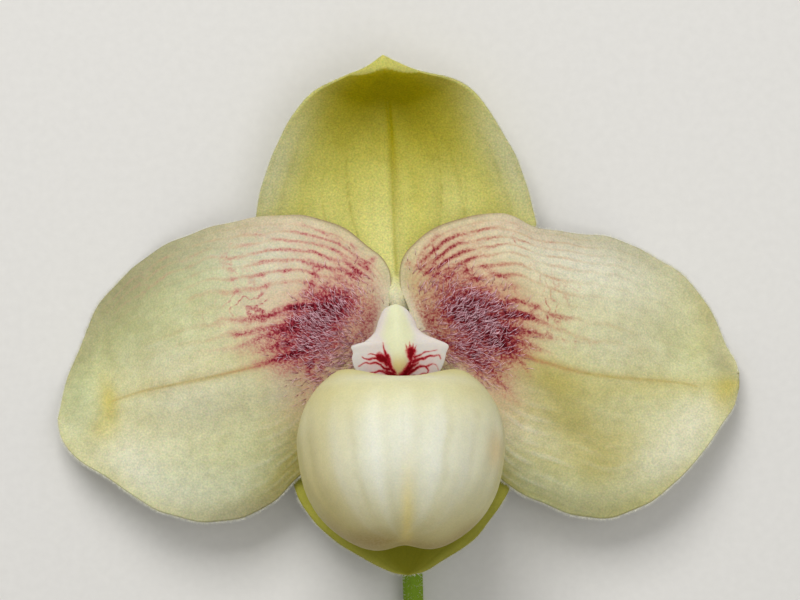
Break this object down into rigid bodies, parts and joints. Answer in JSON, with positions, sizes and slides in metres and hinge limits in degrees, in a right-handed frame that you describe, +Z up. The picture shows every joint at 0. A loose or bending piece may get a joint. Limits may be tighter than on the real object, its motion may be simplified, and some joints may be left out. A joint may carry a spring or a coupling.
{
  "type": "slipper orchid flower",
  "caption": "Picked slipper orchid flower (Paphiopedilum) with two broad petals, a hooded top sepal and a hollow pouch lip, lying on its back on its stalk.",
  "frame": {"origin": "middle of the flower's footprint, on the surface it lies on", "axes": "+Z up, the way the flower faces; +Y towards the tip of the top sepal; -Y towards the cut end of the stalk"},
  "size_m": [0.1246, 0.1533, 0.0481],
  "materials": {
    "petal": "matte",
    "dorsal_sepal": "matte",
    "synsepal": "matte",
    "lip": "satin",
    "staminode": "satin",
    "column": "satin",
    "pollen": "satin",
    "ovary": "matte",
    "bract": "matte",
    "peduncle": "matte"
  },
  "bodies": {
    "root": {"petal_right": "petal", "petal_left": "petal", "dorsal_sepal": "dorsal_sepal", "synsepal": "synsepal", "lip": "lip", "staminode": "staminode", "column": "column", "anther_left": "pollen", "anther_right": "pollen", "ovary": "ovary", "bract": "bract", "peduncle": "peduncle"}
  },
  "joints": []
}
